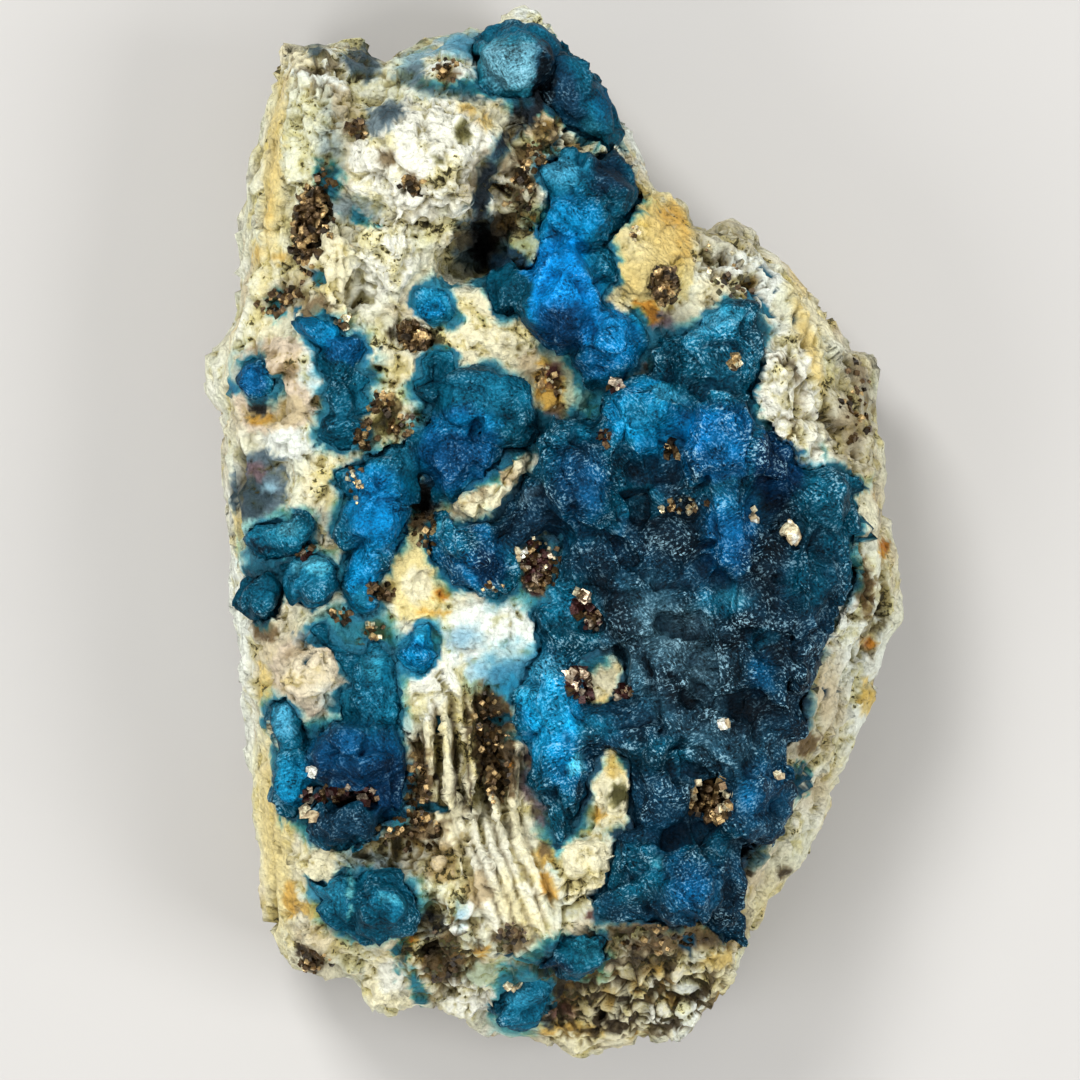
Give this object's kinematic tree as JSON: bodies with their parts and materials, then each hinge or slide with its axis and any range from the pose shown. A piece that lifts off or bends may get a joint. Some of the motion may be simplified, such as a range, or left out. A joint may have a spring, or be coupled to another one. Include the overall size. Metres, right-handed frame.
{
  "type": "afghanite mineral specimen",
  "caption": "Hand specimen of deep blue afghanite crystals grown together on pale marble with pyrite grains, lying on its flat broken back.",
  "frame": {"origin": "centre of the bounding box at the level of the flat back, which is the face it rests on", "axes": "+Z from the flat back up to the crystal face, +Y along the longest side towards the narrower end, +X across"},
  "size_m": [0.0794, 0.12, 0.0435],
  "materials": {
    "marble": "granular, cream to pale green with dark specks",
    "afghanite": "satin, deep blue to teal crystals",
    "pyrite": "tarnished bronze brown grains",
    "calcite": "cream chip"
  },
  "bodies": {
    "root": {"afghanite_arch": "afghanite", "afghanite_bottom_left": "afghanite", "afghanite_crest": "afghanite", "afghanite_foot_left": "afghanite", "afghanite_foot_right": "afghanite", "afghanite_left_edge": "afghanite", "afghanite_left_knob": "afghanite", "afghanite_left_patch": "afghanite", "afghanite_left_round": "afghanite", "afghanite_left_small": "afghanite", "afghanite_lower_left": "afghanite", "afghanite_main": "afghanite", "afghanite_middle_small": "afghanite", "afghanite_upper": "afghanite", "afghanite_upper_left": "afghanite", "afghanite_upper_patch": "afghanite", "calcite_chip": "calcite", "matrix": "marble", "pyrite_centre": "pyrite", "pyrite_chain_lower": "pyrite", "pyrite_chain_upper": "pyrite", "pyrite_lower_right": "pyrite", "pyrite_middle_left": "pyrite", "pyrite_upper_left": "pyrite", "pyrite_upper_right": "pyrite"}
  },
  "joints": []
}
